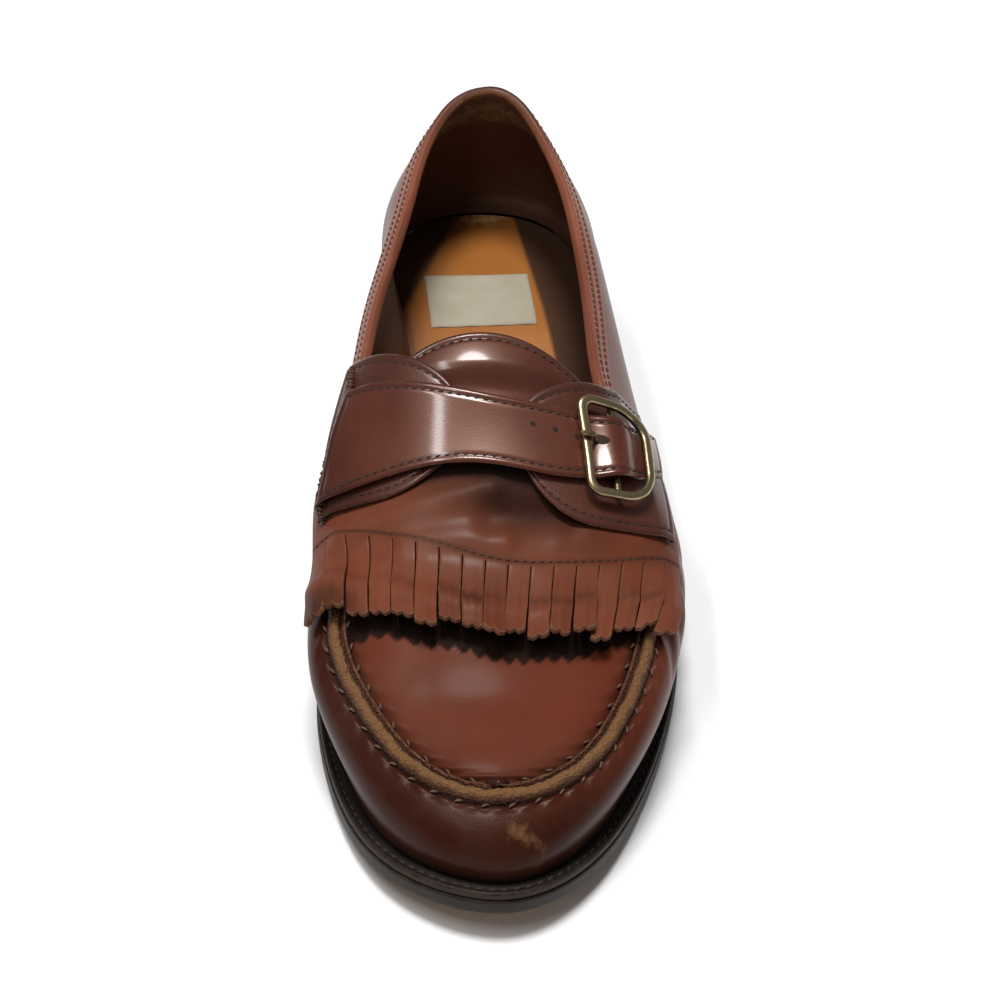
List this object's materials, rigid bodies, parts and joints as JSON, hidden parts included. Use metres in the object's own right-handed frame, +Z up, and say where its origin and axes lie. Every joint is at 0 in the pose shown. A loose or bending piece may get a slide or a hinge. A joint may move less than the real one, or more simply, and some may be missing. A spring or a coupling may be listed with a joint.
{
  "type": "kiltie loafer",
  "caption": "Left leather kiltie loafer with a raised moccasin seam, fringed kiltie, side buckle strap, leather sole and stacked heel.",
  "frame": {"origin": "middle of the heel's bottom face, on the floor", "axes": "toe along -Y, +X to the lateral (outer) side of this left shoe, +Z up"},
  "size_m": [0.1109, 0.2976, 0.092],
  "materials": {
    "sole_leather": "dark dyed leather edge, satin",
    "welt_leather": "dark dyed welt, satin",
    "heel_leather": "stacked leather, dark dyed edge",
    "lift_rubber": "black rubber, matt",
    "insole_leather": "tan insole leather, lightly polished by wear",
    "upper_leather": "red-brown calf, glossy, burnished darker at the toe",
    "buckle_brass": "antique brass, rubbed bright on its edges"
  },
  "bodies": {
    "root": {"outsole": "sole_leather", "welt": "welt_leather", "heel_stack": "heel_leather", "top_lift": "lift_rubber", "insole": "insole_leather", "upper": "upper_leather", "tongue": "upper_leather", "kiltie": "upper_leather", "ear_medial": "upper_leather", "ear_lateral": "upper_leather", "strap": "upper_leather", "buckle_frame": "buckle_brass", "buckle_prong": "buckle_brass"}
  },
  "joints": []
}
